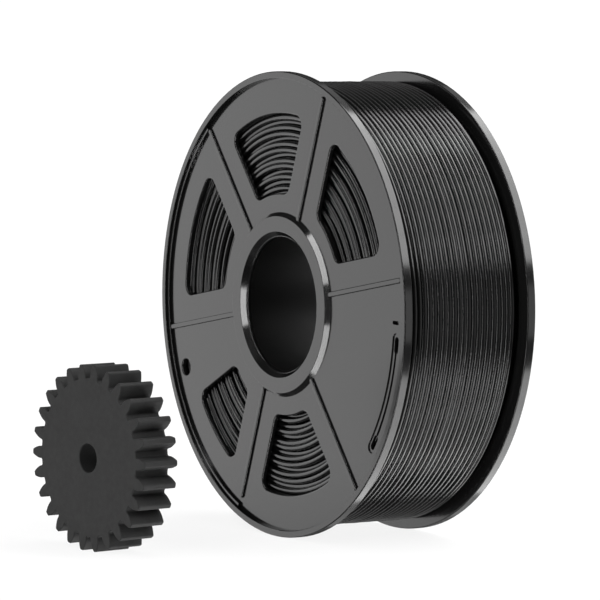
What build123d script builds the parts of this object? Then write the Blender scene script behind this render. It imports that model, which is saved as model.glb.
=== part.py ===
from build123d import *
import os
from math import atan, cos, degrees, hypot, radians, sin, sqrt, tan

# A filament spool with its wound filament, and a printed spur gear standing beside it.
#
# Millimetres. The origin is the centre of the spindle bore at mid-width. +Y runs along the
# bore from the front side plate to the rear one, and +Z is up. The spool is three mouldings:
# two equal side plates, and a double-walled hub whose outer wall is the winding drum. Each
# plate has a collar that plugs into the hub, notched so that the hub's webs drive it round.

# ---- spool ----
SPOOL_DIAMETER = 200.0
SPOOL_WIDTH = 65.0
SPOOL_RADIUS = SPOOL_DIAMETER / 2
HALF_WIDTH = SPOOL_WIDTH / 2

BORE_RADIUS = 29.0
BORE_LEAD_IN = 2.5          # chamfer at each mouth of the bore

# ---- side plate, as a stack of levels below the rim's face ----
PLATE_THICKNESS = 4.0       # at the rim
FLOOR_DEPTH = 2.2           # how far the sunk panel lies below the rim's face
RIM_INNER_RADIUS = 97.0
RIM_ROUND = 0.5
EDGE_ROUND = 0.3            # on the moulding's other outer edges
BOSS_RADIUS = 38.0          # top of the boss around the bore
BOSS_FOOT_RADIUS = 39.7     # its sloped side meets the sunk panel here
BOSS_DEPTH = 0.3            # the boss is this far below the rim's face
MERGE = 0.5                 # how far joined features reach into one another
NEAR = 0.01                 # a corner this close to a stated point is that point

RIB_COUNT = 6
RIB_FIRST_ANGLE = 9.0
RIB_STEP = 360.0 / RIB_COUNT
RIB_WIDTH = 2.3
RIB_HEIGHT = 0.9
RIB_ROUND = 0.55
RIB_OUTER_RADIUS = 95.6
SHORT_RIB = 4               # this rib stops further from the rim
SHORT_RIB_OUTER_RADIUS = 92.5
LEDGE_INNER_RADIUS = 95.2   # raised band along the rim, over two of the six sectors
LEDGE_HEIGHT = 1.2
LEDGE_FIRST_SECTOR = 2
LEDGE_SECTORS = 2

# ---- windows between the ribs ----
WINDOW_INNER_RADIUS = 47.8
WINDOW_OUTER_RADIUS = 82.0
WINDOW_CORNER = 4.5
WINDOW_EDGE_ROUND = 0.8
WEB_HALF_WIDTH = 12.5       # from a rib's centre line to the window beside it
FULL_WINDOWS = (0, 1, 2, 4)
NARROW_WINDOW = 3           # this one gives way to the round hole beside it
NARROW_SIDE_ANGLE = 205.7
NARROW_SIDE_OFFSET = 9.0

# ---- filament parking: one round hole, one long slot with wide ends, one short slot ----
HOLE_RADIUS = 3.5
HOLE_AT = (88.0, 201.5)     # radius, angle
SLOT_RADIUS = 90.4
SLOT_START = 321.5
SLOT_END = 354.5
SLOT_WIDTH = 1.3
SLOT_WIDE_END = 2.9
SLOT_WIDE_ANGLE = 4.5
SLOT_SURROUND_WIDTH = 5.0
SLOT_SURROUND_DEPTH = 0.5
SLOT_SURROUND_MARGIN = 1.0  # degrees beyond each end of the slot
SHORT_SLOT_ANGLE = 358.2
SHORT_SLOT_RADIUS = 89.8
SHORT_SLOT_SIZE = (4.6, 1.6)
SHORT_SLOT_CORNER = 0.7

# ---- hub ----
DRUM_RADIUS = 40.0
HUB_WALL = 2.5
HUB_GAP_TO_PLATE = 0.1
COLLAR_CLEARANCE = 0.4
COLLAR_DEPTH = 12.0
WEB_THICKNESS = 2.0
NOTCH_CLEARANCE = 0.4

# ---- wound filament ----
WINDING_RADIUS = 96.0
WINDING_START = 0.3         # gap to the front plate
WINDING_TURNS = 22
TURN_PITCH = 2.45

# ---- printed gear ----
GEAR_MODULE = 2.8
GEAR_TEETH = 26
GEAR_PRESSURE_ANGLE = 20.0
GEAR_ROOT_DEPTH = 1.25      # below the pitch circle, in modules
FLANK_POINTS = 5
GEAR_WIDTH = 16.8
GEAR_BORE_RADIUS = 6.0
GEAR_TIP_ROUND = 0.8
GEAR_ROOT_ROUND = 0.9
GEAR_EDGE_CHAMFER = 0.3
GEAR_FACE_X = 1.0           # centre of its front face, in plan
GEAR_FACE_Y = -125.5
GEAR_TURN = 8.0             # how far its axis is swung from the spool's, about +Z

PLATE_BACK = HALF_WIDTH - PLATE_THICKNESS
FLOOR_LEVEL = HALF_WIDTH - FLOOR_DEPTH
BOSS_LEVEL = HALF_WIDTH - BOSS_DEPTH
HUB_LENGTH = 2 * (PLATE_BACK - HUB_GAP_TO_PLATE)
REAR_PLATE_TURN = 2 * RIB_FIRST_ANGLE + RIB_STEP
HUB_INNER_WALL_RADIUS = BORE_RADIUS + HUB_WALL
HUB_OUTER_WALL_RADIUS = DRUM_RADIUS - HUB_WALL
HUB_GAP = HUB_OUTER_WALL_RADIUS - HUB_INNER_WALL_RADIUS
HUB_GAP_MIDDLE = (HUB_OUTER_WALL_RADIUS + HUB_INNER_WALL_RADIUS) / 2

# The side plate and the gear are drawn lying down, with their outer face towards +Z, and are
# then stood up: drawn X stays X, drawn Y becomes Z, and drawn +Z becomes -Y.
STAND_UP = Rot(90, 0, 0)


def rib_angle(index):
    return RIB_FIRST_ANGLE + index * RIB_STEP


def polar(radius, angle):
    return (radius * cos(radians(angle)), radius * sin(radians(angle)))


def ring(outer, inner, bottom, top):
    """A flat ring between two heights."""
    face = Circle(outer) - Circle(inner)
    return Pos(0, 0, bottom) * extrude(face, top - bottom)


def straight_sided_sector(angle_a, offset_a, angle_b, offset_b):
    """The wedge between a line offset inwards from angle_a and one offset inwards from angle_b."""
    spread = radians(angle_b - angle_a)
    # The two lines meet at this point, found along and across the first line.
    along = (offset_b + offset_a * cos(spread)) / sin(spread)
    a = radians(angle_a)
    apex = (along * cos(a) - offset_a * sin(a), along * sin(a) + offset_a * cos(a))
    reach = SPOOL_DIAMETER
    corners = [apex]
    for angle in (angle_a, angle_b):
        step = polar(reach, angle)
        corners.append((apex[0] + step[0], apex[1] + step[1]))
    return make_face(Polyline(*corners, close=True))


def window(angle_a, offset_a, angle_b, offset_b):
    """One window: a sector with straight sides, cut by two arcs, with its corners rounded."""
    band = Circle(WINDOW_OUTER_RADIUS) - Circle(WINDOW_INNER_RADIUS)
    shape = band & straight_sided_sector(angle_a, offset_a, angle_b, offset_b)
    return fillet(shape.vertices(), WINDOW_CORNER)


def arc_slot(start, end, width):
    """A curved slot along the rim between two angles, measured to its rounded ends."""
    cap = degrees(width / 2 / SLOT_RADIUS)
    path = CenterArc((0, 0), SLOT_RADIUS, start + cap, end - start - 2 * cap)
    return SlotArc(path, width)


def parking_slots():
    """Slots that hold the filament's loose end."""
    slot = arc_slot(SLOT_START, SLOT_END, SLOT_WIDTH)
    slot += arc_slot(SLOT_START, SLOT_START + SLOT_WIDE_ANGLE, SLOT_WIDE_END)
    slot += arc_slot(SLOT_END - SLOT_WIDE_ANGLE, SLOT_END, SLOT_WIDE_END)
    place = Pos(*polar(SHORT_SLOT_RADIUS, SHORT_SLOT_ANGLE)) * Rot(0, 0, SHORT_SLOT_ANGLE)
    short_slot = place * RectangleRounded(*SHORT_SLOT_SIZE, SHORT_SLOT_CORNER)
    return slot + short_slot


def plate_windows():
    """The five windows, and the round hole that holds the filament's loose end."""
    cutouts = Pos(*polar(*HOLE_AT)) * Circle(HOLE_RADIUS)
    for index in FULL_WINDOWS:
        cutouts += window(rib_angle(index), WEB_HALF_WIDTH, rib_angle(index + 1), WEB_HALF_WIDTH)
    cutouts += window(NARROW_SIDE_ANGLE, NARROW_SIDE_OFFSET,
                      rib_angle(NARROW_WINDOW + 1), WEB_HALF_WIDTH)
    return cutouts


def turned(outline, rounds):
    """A ring turned from a closed outline of (radius, height); rounds maps corner to radius."""
    section = make_face(Plane.XZ * Polyline(*outline, close=True))
    for (radius, height), size in rounds.items():
        corners = section.vertices().filter_by(
            lambda v: abs(v.X - radius) < NEAR and abs(v.Z - height) < NEAR)
        section = fillet(corners, size)
    return revolve(section, Axis.Z)


def boss():
    """The raised ring around the bore: sloped outside, with a lead-in at the bore's mouth."""
    mouth = (BORE_RADIUS + BORE_LEAD_IN, BOSS_LEVEL)
    shoulder = (BOSS_RADIUS, BOSS_LEVEL)
    outline = [(BORE_RADIUS, PLATE_BACK), (BORE_RADIUS, BOSS_LEVEL - BORE_LEAD_IN), mouth, shoulder,
               (BOSS_FOOT_RADIUS, FLOOR_LEVEL), (BOSS_FOOT_RADIUS, PLATE_BACK)]
    return turned(outline, {mouth: EDGE_ROUND, shoulder: EDGE_ROUND})


def rim():
    """The thick outer ring of the plate."""
    outer_front = (SPOOL_RADIUS, HALF_WIDTH)
    outer_back = (SPOOL_RADIUS, PLATE_BACK)
    inner_front = (RIM_INNER_RADIUS, HALF_WIDTH)
    outline = [(RIM_INNER_RADIUS, PLATE_BACK), inner_front, outer_front, outer_back]
    rounds = {outer_front: RIM_ROUND, outer_back: RIM_ROUND, inner_front: EDGE_ROUND}
    return turned(outline, rounds)


def ledge():
    """The raised band along the rim, over some of the sectors between the ribs."""
    top = FLOOR_LEVEL + LEDGE_HEIGHT
    crest = (LEDGE_INNER_RADIUS, top)
    outline = [(LEDGE_INNER_RADIUS, FLOOR_LEVEL - MERGE), crest, (RIM_INNER_RADIUS + MERGE, top),
               (RIM_INNER_RADIUS + MERGE, FLOOR_LEVEL - MERGE)]
    first = rib_angle(LEDGE_FIRST_SECTOR)
    sector = straight_sided_sector(first, 0, first + LEDGE_SECTORS * RIB_STEP, 0)
    wedge = Pos(0, 0, PLATE_BACK) * extrude(sector, PLATE_THICKNESS)
    return turned(outline, {crest: EDGE_ROUND}) & wedge


def ribs():
    """Radial ribs with rounded ends and crests, from the boss outwards."""
    inner = BOSS_FOOT_RADIUS - 2 * MERGE
    raised = Part()
    for index in range(RIB_COUNT):
        outer = SHORT_RIB_OUTER_RADIUS if index == SHORT_RIB else RIB_OUTER_RADIUS
        length = outer - inner
        outline = Pos(inner + length / 2, 0) * SlotOverall(length, RIB_WIDTH)
        bar = Pos(0, 0, FLOOR_LEVEL - MERGE) * extrude(outline, RIB_HEIGHT + MERGE)
        bar = fillet(bar.faces().sort_by(Axis.Z)[-1].edges(), RIB_ROUND)
        raised += Rot(0, 0, rib_angle(index)) * bar
    return raised


def panel():
    """The sunk panel, with rounded edges round its windows and round hole."""
    outline = Circle(RIM_INNER_RADIUS + MERGE) - Circle(BORE_RADIUS)
    sheet = Pos(0, 0, PLATE_BACK) * extrude(outline - plate_windows(), FLOOR_LEVEL - PLATE_BACK)
    front = sheet.faces().sort_by(Axis.Z)[-1]
    inner_edges = [edge for wire in front.inner_wires() for edge in wire.edges()]
    inner_edges = [edge for edge in inner_edges if edge.center(CenterOf.MASS).length > BORE_RADIUS]
    return fillet(inner_edges, WINDOW_EDGE_ROUND)


def collar():
    """The collar that plugs between the hub's two walls, notched for the hub's webs."""
    body = ring(HUB_OUTER_WALL_RADIUS - COLLAR_CLEARANCE, HUB_INNER_WALL_RADIUS + COLLAR_CLEARANCE,
                PLATE_BACK - COLLAR_DEPTH, PLATE_BACK)
    notch_width = WEB_THICKNESS + 2 * NOTCH_CLEARANCE
    notch = Pos(HUB_GAP_MIDDLE, 0, PLATE_BACK - COLLAR_DEPTH / 2) * Box(
        HUB_GAP, notch_width, COLLAR_DEPTH)
    for index in range(RIB_COUNT):
        body -= Rot(0, 0, rib_angle(index)) * notch
    return body


def side_plate():
    """A side plate lying down, with its outer face towards +Z."""
    plate = panel() + rim() + boss() + ledge() + ribs()
    surround = arc_slot(SLOT_START - SLOT_SURROUND_MARGIN, SLOT_END + SLOT_SURROUND_MARGIN,
                        SLOT_SURROUND_WIDTH)
    plate -= Pos(0, 0, FLOOR_LEVEL - SLOT_SURROUND_DEPTH) * extrude(surround, SLOT_SURROUND_DEPTH)
    plate -= Pos(0, 0, PLATE_BACK) * extrude(parking_slots(), PLATE_THICKNESS)
    return plate + collar()


def hub():
    """Two coaxial walls joined by six webs; its axis is +Z as drawn."""
    half = HUB_LENGTH / 2
    body = ring(HUB_INNER_WALL_RADIUS, BORE_RADIUS, -half, half)
    body += ring(DRUM_RADIUS, HUB_OUTER_WALL_RADIUS, -half, half)
    web = Pos(HUB_GAP_MIDDLE, 0, 0) * Box(HUB_GAP + 2 * MERGE, WEB_THICKNESS, HUB_LENGTH)
    for index in range(RIB_COUNT):
        body += Rot(0, 0, rib_angle(index)) * web
    return body


def winding():
    """The wound filament as one ring, with a bump for each turn of its outer layer."""
    front = PLATE_BACK - WINDING_START
    rear = front - WINDING_TURNS * TURN_PITCH
    bump = TURN_PITCH / 2
    shoulder = WINDING_RADIUS - bump
    outline = [Polyline((shoulder, front), (DRUM_RADIUS, front), (DRUM_RADIUS, rear),
                        (shoulder, rear))]
    for turn in range(WINDING_TURNS):
        low = rear + turn * TURN_PITCH
        outline.append(ThreePointArc((shoulder, low), (WINDING_RADIUS, low + bump),
                                     (shoulder, low + TURN_PITCH)))
    section = make_face(Plane.XZ * Curve(children=outline))
    return revolve(section, Axis.Z)


def involute_point(base_radius, radius, start_angle):
    """The point at a radius on an involute that leaves the base circle at start_angle."""
    roll = sqrt(max((radius / base_radius) ** 2 - 1, 0))
    return polar(radius, start_angle + degrees(roll - atan(roll)))


def gear_outline():
    """The toothed outline, with a tooth centred on angle 0."""
    pitch_radius = GEAR_MODULE * GEAR_TEETH / 2
    base_radius = pitch_radius * cos(radians(GEAR_PRESSURE_ANGLE))
    tip_radius = pitch_radius + GEAR_MODULE
    root_radius = pitch_radius - GEAR_ROOT_DEPTH * GEAR_MODULE
    involute_at_pitch = degrees(tan(radians(GEAR_PRESSURE_ANGLE))) - GEAR_PRESSURE_ANGLE
    half_at_base = 90 / GEAR_TEETH + involute_at_pitch
    tooth_step = 360 / GEAR_TEETH
    flank_step = (tip_radius - base_radius) / (FLANK_POINTS - 1)
    flank_radii = [base_radius + flank_step * point for point in range(FLANK_POINTS)]
    edges = []
    for tooth in range(GEAR_TEETH):
        centre = tooth * tooth_step
        rising = [involute_point(base_radius, r, -half_at_base) for r in flank_radii]
        falling = [(x, -y) for x, y in reversed(rising)]
        foot = polar(root_radius, -half_at_base)
        next_foot = polar(root_radius, tooth_step - half_at_base)
        tooth_edges = [
            Line(foot, rising[0]),
            Spline(*rising),
            ThreePointArc(rising[-1], (tip_radius, 0), falling[0]),
            Spline(*falling),
            Line(falling[-1], (foot[0], -foot[1])),
            ThreePointArc((foot[0], -foot[1]), polar(root_radius, tooth_step / 2), next_foot),
        ]
        edges += [Rot(0, 0, centre) * edge for edge in tooth_edges]
    outline = make_face(Wire(edges))
    tips = outline.vertices().filter_by(lambda v: hypot(v.X, v.Y) > tip_radius - NEAR)
    outline = fillet(tips, GEAR_TIP_ROUND)
    roots = outline.vertices().filter_by(lambda v: hypot(v.X, v.Y) < root_radius + NEAR)
    return fillet(roots, GEAR_ROOT_ROUND)


def gear():
    """The gear stood up on two of its teeth, on the level that the spool's rims stand on."""
    blank = extrude(gear_outline() - Circle(GEAR_BORE_RADIUS), -GEAR_WIDTH)
    for end_face in (blank.faces().sort_by(Axis.Z)[0], blank.faces().sort_by(Axis.Z)[-1]):
        blank = chamfer(end_face.edges(), GEAR_EDGE_CHAMFER)
    standing = STAND_UP * blank
    foot = standing.bounding_box().min.Z
    return Pos(GEAR_FACE_X, GEAR_FACE_Y, -SPOOL_RADIUS - foot) * Rot(0, 0, GEAR_TURN) * standing


def main():
    front_plate = STAND_UP * side_plate()
    # The same moulding turned about Z; the turn about Y brings its notches onto the hub's webs.
    rear_plate = Rot(0, -REAR_PLATE_TURN, 0) * Rot(0, 0, 180) * front_plate
    parts = {
        "front_side_plate": front_plate,
        "rear_side_plate": rear_plate,
        "hub_core": STAND_UP * hub(),
        "wound_filament": STAND_UP * winding(),
        "printed_gear": gear(),
    }
    os.makedirs("parts", exist_ok=True)
    for name, part in parts.items():
        part.label = name
        export_step(part, f"parts/{name}.step")


main()
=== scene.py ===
"""Filament spool and printed gear: looks, floor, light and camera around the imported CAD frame."""
import math

import bpy
import numpy as np
from mathutils import Matrix, Vector


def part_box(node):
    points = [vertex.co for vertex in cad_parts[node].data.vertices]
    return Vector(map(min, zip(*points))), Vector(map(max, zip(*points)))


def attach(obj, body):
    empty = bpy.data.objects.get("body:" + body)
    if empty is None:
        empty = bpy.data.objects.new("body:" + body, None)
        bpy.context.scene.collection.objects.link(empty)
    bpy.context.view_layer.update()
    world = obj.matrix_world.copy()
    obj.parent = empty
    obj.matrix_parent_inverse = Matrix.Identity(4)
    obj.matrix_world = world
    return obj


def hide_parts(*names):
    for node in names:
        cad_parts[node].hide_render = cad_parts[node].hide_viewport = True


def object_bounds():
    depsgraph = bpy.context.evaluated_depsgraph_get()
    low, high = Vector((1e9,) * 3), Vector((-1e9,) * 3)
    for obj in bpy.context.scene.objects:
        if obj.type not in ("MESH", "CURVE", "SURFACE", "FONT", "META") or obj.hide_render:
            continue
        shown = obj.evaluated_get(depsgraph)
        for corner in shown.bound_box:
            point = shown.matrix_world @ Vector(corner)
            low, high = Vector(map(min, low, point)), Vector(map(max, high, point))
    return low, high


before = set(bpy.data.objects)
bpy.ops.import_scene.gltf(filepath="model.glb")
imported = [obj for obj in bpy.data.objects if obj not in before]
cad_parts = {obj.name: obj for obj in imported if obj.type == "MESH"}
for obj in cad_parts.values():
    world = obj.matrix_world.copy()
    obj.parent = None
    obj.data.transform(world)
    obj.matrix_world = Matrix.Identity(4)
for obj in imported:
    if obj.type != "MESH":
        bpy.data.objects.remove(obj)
CAD_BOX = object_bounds()

MM = 0.001
TURN = 2 * math.pi

# ---- the wound filament ----
STRAND_RADIUS = 1.2 * MM
STRAND_SIDES = 16
STEPS_PER_TURN = 120
LAYERS = 24
TRAVEL_TURNS = 21           # turns in which the strand crosses the drum
DWELL = 1.0                 # turns it makes against each side plate before it comes back
CLIMB = 0.09                # share of a turn in which it climbs to the next layer
LAYER_TURNS = TRAVEL_TURNS + 2 * DWELL + CLIMB
WHOLE_LAYERS = 2            # outer layers that show all the way round
END_TURNS = 2.4             # turns shown at each end of the layers below those
LATERAL_WANDER = 0.17 * MM
RADIAL_WANDER = 0.08 * MM
WANDER_RATES = (0.13, 0.31, 0.77, 1.9)      # waves per turn that add up to the wander
WANDER_SCALE = 2.5                          # brings their sum to about -1 to 1
UNEVEN_INSET = 1.6 * MM     # how far inside the others a layer's end turns can lie
UNEVEN_HEIGHT = 0.3 * MM    # how much nearer the bore they can lie
SHALLOW = (0, 0.15)         # the share of those two that most layers take, least and most
DEEP = (0.75, 1.0)          # the share that every second or third layer takes
DEEP_EVERY = (2, 4)         # layers from one of these to the next: 2 or 3, as 4 isn't drawn
LATERAL_SEED = 1
RADIAL_SEED = 2
INSET_SEED = 3
HEIGHT_SEED = 4
CORE_GAP = 2.8 * MM         # from the strands' outermost turns to the dark core behind them
CORE_STEPS = 96

# ---- camera ----
CAMERA_AZIMUTH = 58.3       # degrees
CAMERA_ELEVATION = 3.46     # degrees
CAMERA_DISTANCE = 1.637
CAMERA_AIM = Vector((-0.0094, -0.0151, 0.0010))
CAMERA_LENS = 226.6         # mm, for the sensor width below
CAMERA_SENSOR = 36.0
CAMERA_REACH = 50

# ---- floor and background ----
FLOOR_RADIUS = 0.4
FLOOR_SOLID_RADIUS = 0.13
FLOOR_CORNERS = 24
FLOOR_COVER = 0.16          # how opaque the paper is in its middle
PAPER_TONE = 0.9
PAPER_ROUGHNESS = 0.9
PAPER_SPECULAR = 0.1
WORLD_DARK = 0.05
WORLD_WHITE = 1.05

# ---- lights ----
MIRROR_AZIMUTH = -CAMERA_AZIMUTH            # where the front side plate mirrors the camera
ARCH_PANELS = 6                             # in each curved light
FRONT_DISTANCE = 2.6
BACK_DISTANCE = 1.6
CONE_SLOPE = 48.5           # degrees between the plate's face and the boss's cone
LEAD_IN_SLOPE = 44.1        # the same for the bore's lead-in
RIM_SLOPE = 90              # and for the rims' outer faces


def link(obj):
    bpy.context.scene.collection.objects.link(obj)
    return obj


def mesh_object(name, vertices, faces, smooth=True):
    mesh = bpy.data.meshes.new(name)
    mesh.from_pydata(vertices, [], faces)
    mesh.update()
    for polygon in mesh.polygons:
        polygon.use_smooth = smooth
    return link(bpy.data.objects.new(name, mesh))


# ---------------------------------------------------------------- materials


def new_material(name):
    material = bpy.data.materials.new(name)
    material.use_nodes = True
    tree = material.node_tree
    return material, tree, tree.nodes["Principled BSDF"]


def add(tree, kind, **values):
    """A node with some of its inputs or settings given by name."""
    node = tree.nodes.new(kind)
    for key, value in values.items():
        if key in node.inputs:
            node.inputs[key].default_value = value
        else:
            setattr(node, key, value)
    return node


def noise(tree, coordinates, scale, detail, roughness=0.5):
    texture = add(tree, "ShaderNodeTexNoise", Scale=scale, Detail=detail, Roughness=roughness)
    tree.links.new(coordinates, texture.inputs["Vector"])
    return texture.outputs["Fac"]


def remap(tree, value, low, high):
    ranged = add(tree, "ShaderNodeMapRange")
    ranged.inputs["To Min"].default_value = low
    ranged.inputs["To Max"].default_value = high
    tree.links.new(value, ranged.inputs["Value"])
    return ranged.outputs["Result"]


def tint(tree, value, dark, light):
    """A grey between a dark tone and a light one."""
    ramp = tree.nodes.new("ShaderNodeValToRGB")
    ramp.color_ramp.elements[0].color = (dark, dark, dark, 1)
    ramp.color_ramp.elements[1].color = (light, light, light, 1)
    tree.links.new(value, ramp.inputs["Fac"])
    return ramp.outputs["Color"]


def black_plastic(name, tone_noise, tones, gloss_noise, roughness, specular):
    """A plastic whose tone and gloss change a little from place to place. Each noise is given by
    its scale and detail, and by its roughness where that isn't 0.5."""
    material, tree, shader = new_material(name)
    place = tree.nodes.new("ShaderNodeTexCoord").outputs["Object"]
    mottle = noise(tree, place, *tone_noise)
    tree.links.new(tint(tree, mottle, *tones), shader.inputs["Base Color"])
    gloss = noise(tree, place, *gloss_noise)
    tree.links.new(remap(tree, gloss, *roughness), shader.inputs["Roughness"])
    shader.inputs["Specular IOR Level"].default_value = specular
    return material


def add_grain(material, grain_noise, distance, strength):
    """Gives a material a fine bump."""
    tree = material.node_tree
    place = tree.nodes.new("ShaderNodeTexCoord").outputs["Object"]
    bump = add(tree, "ShaderNodeBump", Distance=distance, Strength=strength)
    tree.links.new(noise(tree, place, *grain_noise), bump.inputs["Height"])
    tree.links.new(bump.outputs["Normal"], tree.nodes["Principled BSDF"].inputs["Normal"])


def spool_plastic():
    """Black moulded plastic of the side plates: fairly glossy."""
    return black_plastic("spool_plastic", tone_noise=(35, 3), tones=(0.006, 0.008),
                         gloss_noise=(60, 3), roughness=(0.13, 0.16), specular=0.5)


def hub_plastic():
    """Matt black moulded plastic of the separate hub, its own matt finish, with a tone a little
    darker than the side plates as painted shade inside the bore.
    """
    return black_plastic("hub_plastic", tone_noise=(40, 3), tones=(0.004, 0.006),
                         gloss_noise=(80, 3), roughness=(0.45, 0.6), specular=0.15)


def filament_plastic():
    """Black extruded filament: a smooth skin with faint changes of gloss."""
    return black_plastic("filament", tone_noise=(120, 3), tones=(0.0025, 0.004),
                         gloss_noise=(220, 3), roughness=(0.13, 0.19), specular=0.45)


def printed_plastic():
    """Matt, fibre-filled print: speckled, with a fine grain."""
    material = black_plastic("printed_plastic", tone_noise=(90, 5, 0.65), tones=(0.015, 0.024),
                             gloss_noise=(400, 3), roughness=(0.62, 0.85), specular=0.35)
    add_grain(material, grain_noise=(1500, 3, 0.7), distance=0.1 * MM, strength=0.5)
    return material


# ---------------------------------------------------------------- the wound filament


def wander(turns, seed):
    """A smooth, repeatable wandering value of about -1 to 1 along the strand."""
    rng = np.random.default_rng(seed)
    value = np.zeros_like(turns)
    for rate in WANDER_RATES:
        value += np.sin(turns * TURN * rate + rng.uniform(0, TURN))
    return value / WANDER_SCALE


def uneven(layer, climb, seed):
    """A value from 0 to 1 for each layer, high for every second or third, easing over in a climb."""
    rng = np.random.default_rng(seed)
    values = rng.uniform(*SHALLOW, LAYERS + 1)
    deep = 1
    while deep <= LAYERS:
        values[deep] = rng.uniform(*DEEP)
        deep += rng.integers(*DEEP_EVERY)
    index = layer.astype(int)
    return values[index] * (1 - climb) + values[index + 1] * climb


def winding_path(turns, front, rear, inner, outer):
    """Angle, radius and y of the strand, at a number of turns since the innermost layer's start."""
    layer = np.minimum(np.floor(turns / LAYER_TURNS), LAYERS - 1)
    within = turns - layer * LAYER_TURNS
    travel = np.clip((within - DWELL) / TRAVEL_TURNS, 0, 1)
    travel = np.where(layer % 2 == 0, travel, 1 - travel)
    climb = np.clip((within - 2 * DWELL - TRAVEL_TURNS) / CLIMB, 0, 1)
    climb = climb * climb * (3 - 2 * climb)
    inset = UNEVEN_INSET * uneven(layer, climb, INSET_SEED)
    y = front + inset + travel * (rear - front - 2 * inset)
    y = y + LATERAL_WANDER * wander(turns, LATERAL_SEED)
    y = np.clip(y, front, rear)
    radius = inner + (outer - inner) * (layer + climb) / (LAYERS - 1)
    radius = radius - UNEVEN_HEIGHT * uneven(layer, climb, HEIGHT_SEED)
    radius = radius - RADIAL_WANDER * (1 + wander(turns, RADIAL_SEED))
    return turns * TURN, np.maximum(radius, inner), y


def shown_spans():
    """The stretches of the strand that show, each from one number of turns to another."""
    spans = []
    first_whole = LAYERS - WHOLE_LAYERS
    for layer in range(first_whole):
        middle = layer * LAYER_TURNS - CLIMB / 2
        spans.append((max(middle - END_TURNS, 0), middle + END_TURNS))
    last_start = first_whole * LAYER_TURNS - CLIMB / 2
    spans.append((last_start - END_TURNS, LAYERS * LAYER_TURNS - CLIMB))
    return spans


def tube(angle, radius, y):
    """Vertices and faces of a round strand along a path around the Y axis, capped at both ends."""
    around = np.arange(STRAND_SIDES) * TURN / STRAND_SIDES
    out = radius[:, None] + STRAND_RADIUS * np.cos(around)
    along = y[:, None] + STRAND_RADIUS * np.sin(around)
    x = out * np.cos(angle)[:, None]
    z = out * np.sin(angle)[:, None]
    vertices = np.stack([x, along, z], -1).reshape(-1, 3).tolist()
    faces = []
    for ring in range(len(angle) - 1):
        for side in range(STRAND_SIDES):
            a = ring * STRAND_SIDES + side
            b = ring * STRAND_SIDES + (side + 1) % STRAND_SIDES
            faces.append((a, b, b + STRAND_SIDES, a + STRAND_SIDES))
    faces.append(tuple(reversed(range(STRAND_SIDES))))
    faces.append(tuple(range(len(vertices) - STRAND_SIDES, len(vertices))))
    return vertices, faces


def closed_ring(inner, outer, front, rear):
    """Vertices and faces of a plain ring around the Y axis: the layers hidden inside the winding."""
    corners = [(inner, front), (outer, front), (outer, rear), (inner, rear)]
    count = len(corners)
    vertices = []
    faces = []
    for step in range(CORE_STEPS):
        angle = step * TURN / CORE_STEPS
        after = count if step < CORE_STEPS - 1 else -step * count
        for radius, y in corners:
            vertices.append((radius * math.cos(angle), y, radius * math.sin(angle)))
        for corner in range(count):
            a = step * count + corner
            b = step * count + (corner + 1) % count
            faces.append((a, b, b + after, a + after))
    return vertices, faces


def build_winding():
    """The strand, in the place of the CAD ring, around a closed dark core that stays hidden."""
    low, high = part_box("wound_filament")
    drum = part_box("hub_core")[1].x
    front = low.y + STRAND_RADIUS
    rear = high.y - STRAND_RADIUS
    inner = drum + STRAND_RADIUS
    outer = high.x - STRAND_RADIUS
    parts = []
    for start, end in shown_spans():
        turns = np.linspace(start, end, int((end - start) * STEPS_PER_TURN))
        parts.append(tube(*winding_path(turns, front, rear, inner, outer)))
    core_inner = inner - STRAND_RADIUS / 2
    core_outer = outer - WHOLE_LAYERS * (outer - inner) / (LAYERS - 1)
    parts.append(closed_ring(core_inner, core_outer, front + CORE_GAP, rear - CORE_GAP))
    vertices = []
    faces = []
    for part_vertices, part_faces in parts:
        offset = len(vertices)
        vertices.extend(part_vertices)
        faces.extend([tuple(corner + offset for corner in face) for face in part_faces])
    winding = mesh_object("filament_winding", vertices, faces)
    winding.data.materials.append(filament_plastic())
    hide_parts("wound_filament")
    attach(winding, "spool_core")


# ---------------------------------------------------------------- CAD nodes that stay


def finish_cad(name, material):
    """Gives a CAD node its material."""
    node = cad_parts[name]
    node.data.materials.clear()
    node.data.materials.append(material)
    for polygon in node.data.polygons:
        polygon.material_index = 0


# ---------------------------------------------------------------- floor and background


def build_floor():
    """A round sheet of white paper whose edge fades into the white background."""
    level = CAD_BOX[0].z
    corners = []
    for index in range(FLOOR_CORNERS):
        angle = index * TURN / FLOOR_CORNERS
        corners.append((FLOOR_RADIUS * math.cos(angle), FLOOR_RADIUS * math.sin(angle), level))
    floor = mesh_object("floor", corners, [tuple(range(FLOOR_CORNERS))], smooth=False)
    material, tree, shader = new_material("floor_paper")
    shader.inputs["Base Color"].default_value = (PAPER_TONE, PAPER_TONE, PAPER_TONE, 1)
    shader.inputs["Roughness"].default_value = PAPER_ROUGHNESS
    shader.inputs["Specular IOR Level"].default_value = PAPER_SPECULAR
    place = tree.nodes.new("ShaderNodeTexCoord").outputs["Object"]
    length = add(tree, "ShaderNodeVectorMath", operation="LENGTH")
    tree.links.new(place, length.inputs[0])
    fade = add(tree, "ShaderNodeMapRange", interpolation_type="SMOOTHSTEP")
    fade.inputs["From Min"].default_value = FLOOR_SOLID_RADIUS
    fade.inputs["From Max"].default_value = FLOOR_RADIUS
    fade.inputs["To Min"].default_value = FLOOR_COVER
    fade.inputs["To Max"].default_value = 0
    tree.links.new(length.outputs["Value"], fade.inputs["Value"])
    tree.links.new(fade.outputs["Result"], shader.inputs["Alpha"])
    floor.data.materials.append(material)


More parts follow.
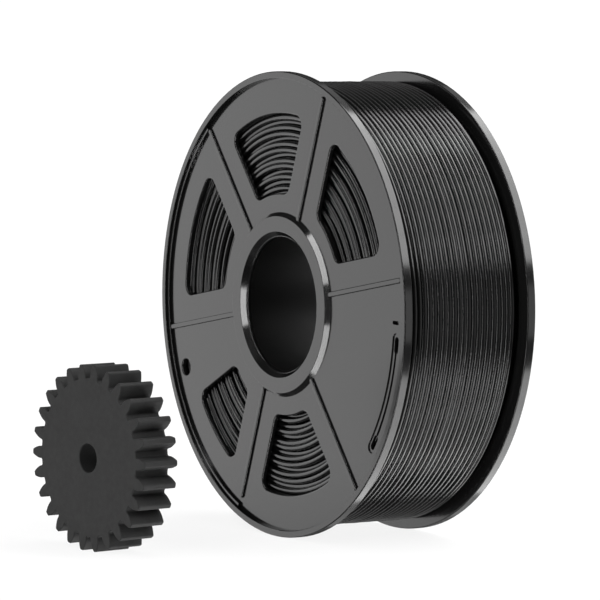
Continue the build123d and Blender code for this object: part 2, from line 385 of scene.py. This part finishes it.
def build_world():
    """White behind the object for the camera, and nearly dark for the object."""
    world = bpy.data.worlds.new("studio")
    bpy.context.scene.world = world
    world.use_nodes = True
    tree = world.node_tree
    dark = tree.nodes["Background"]
    dark.inputs["Color"].default_value = (1, 1, 1, 1)
    dark.inputs["Strength"].default_value = WORLD_DARK
    white = add(tree, "ShaderNodeBackground", Strength=WORLD_WHITE)
    white.inputs["Color"].default_value = (1, 1, 1, 1)
    mix = tree.nodes.new("ShaderNodeMixShader")
    seen = tree.nodes.new("ShaderNodeLightPath").outputs["Is Camera Ray"]
    tree.links.new(seen, mix.inputs["Fac"])
    tree.links.new(dark.outputs["Background"], mix.inputs[1])
    tree.links.new(white.outputs["Background"], mix.inputs[2])
    tree.links.new(mix.outputs["Shader"], tree.nodes["World Output"].inputs["Surface"])


# ---------------------------------------------------------------- lights and camera


def direction(azimuth, elevation):
    """The way to a light or the camera: azimuth 0 is in front, along -Y, and 90 on the +X side."""
    a = math.radians(azimuth)
    e = math.radians(elevation)
    return Vector((math.sin(a) * math.cos(e), -math.cos(a) * math.cos(e), math.sin(e)))


def mirrored(slope, around):
    """The way in which an edge of the side plate mirrors the camera. In degrees, `slope` is how far
    the edge tilts from the plate's face, and `around` the angle about the bore that it faces."""
    tilt = math.radians(slope)
    facing = math.radians(around)
    normal = Vector((math.sin(tilt) * math.cos(facing), -math.cos(tilt),
                     math.sin(tilt) * math.sin(facing)))
    to_camera = direction(CAMERA_AZIMUTH, CAMERA_ELEVATION)
    return 2 * normal.dot(to_camera) * normal - to_camera


def softbox(name, toward, distance, size, radiance, up=Vector((0, 0, 1))):
    """A rectangular light of a given brightness that faces the object from the given direction."""
    light = bpy.data.lights.new(name, "AREA")
    light.shape = "RECTANGLE"
    light.size, light.size_y = size
    light.energy = radiance * math.pi * size[0] * size[1]
    obj = link(bpy.data.objects.new(name, light))
    obj.location = toward * distance
    across = up.cross(toward).normalized()
    obj.rotation_euler = Matrix((across, toward.cross(across), toward)).transposed().to_euler()


def arch(name, slope, span, distance, width, radiance):
    """A curved light in short panels, where edges of one slope, over a span of angles, mirror it."""
    step = (span[1] - span[0]) / ARCH_PANELS
    for index in range(ARCH_PANELS):
        start = mirrored(slope, span[0] + index * step)
        middle = mirrored(slope, span[0] + (index + 0.5) * step)
        end = mirrored(slope, span[0] + (index + 1) * step)
        size = (width, (end - start).length * distance)
        softbox(f"{name}_{index}", middle, distance, size, radiance, up=end - start)


def build_lights():
    """A softbox has a direction, distance, size and radiance; an arch a slope, span and so on."""
    # The side plate's even grey is the mirror image of this one.
    softbox("mirror_side", direction(MIRROR_AZIMUTH, -7), 1.6, (1.5, 1.5), 1.65)
    # These make the bright arcs on the boss's cone and on the bore's lead-in.
    arch("front_high", CONE_SLOPE, (16, 52), FRONT_DISTANCE, 0.16, 16.0)
    arch("front_low", CONE_SLOPE, (-46, -10), FRONT_DISTANCE, 0.16, 16.0)
    arch("front_middle", LEAD_IN_SLOPE, (-29, 20), FRONT_DISTANCE, 0.16, 17.0)
    # These make the glow on the rims' outer faces and the line along each strand.
    arch("back_high", RIM_SLOPE, (12, 56), BACK_DISTANCE, 1.1, 5.5)
    arch("back_low", RIM_SLOPE, (-52, -14), BACK_DISTANCE, 1.1, 4.6)
    # The rest are weaker: for the top, the edges, and the views from other sides.
    softbox("overhead", direction(0, 90), 1.6, (0.8, 0.8), 3.0, up=Vector((0, 1, 0)))
    softbox("top_left", direction(-140, 46), 1.5, (1.5, 0.5), 0.4)
    softbox("low_left", direction(-140, -46), 1.5, (1.5, 0.5), 0.6)
    softbox("side_back", direction(122, -3), 1.6, (0.4, 0.6), 1.0)
    softbox("mirror_back", direction(182, -2), 1.8, (2.4, 1.3), 0.65)
    softbox("front_fill", direction(-8, 4), 2.4, (1.6, 1.4), 0.45)
    softbox("side_left", direction(-107, 8), 1.6, (0.5, 0.8), 0.4)


def build_camera():
    data = bpy.data.cameras.new("camera")
    data.lens = CAMERA_LENS
    data.sensor_width = CAMERA_SENSOR
    data.clip_end = CAMERA_REACH
    camera = link(bpy.data.objects.new("camera", data))
    back = direction(CAMERA_AZIMUTH, CAMERA_ELEVATION)
    camera.location = CAMERA_AIM + back * CAMERA_DISTANCE
    camera.rotation_euler = (-back).to_track_quat("-Z", "Y").to_euler()
    bpy.context.scene.camera = camera


def main():
    bpy.context.scene.view_settings.view_transform = "Standard"
    plastic = spool_plastic()
    for name in ("front_side_plate", "rear_side_plate"):
        finish_cad(name, plastic)
    finish_cad("hub_core", hub_plastic())
    finish_cad("printed_gear", printed_plastic())
    build_winding()
    build_floor()
    build_world()
    build_lights()
    build_camera()


main()
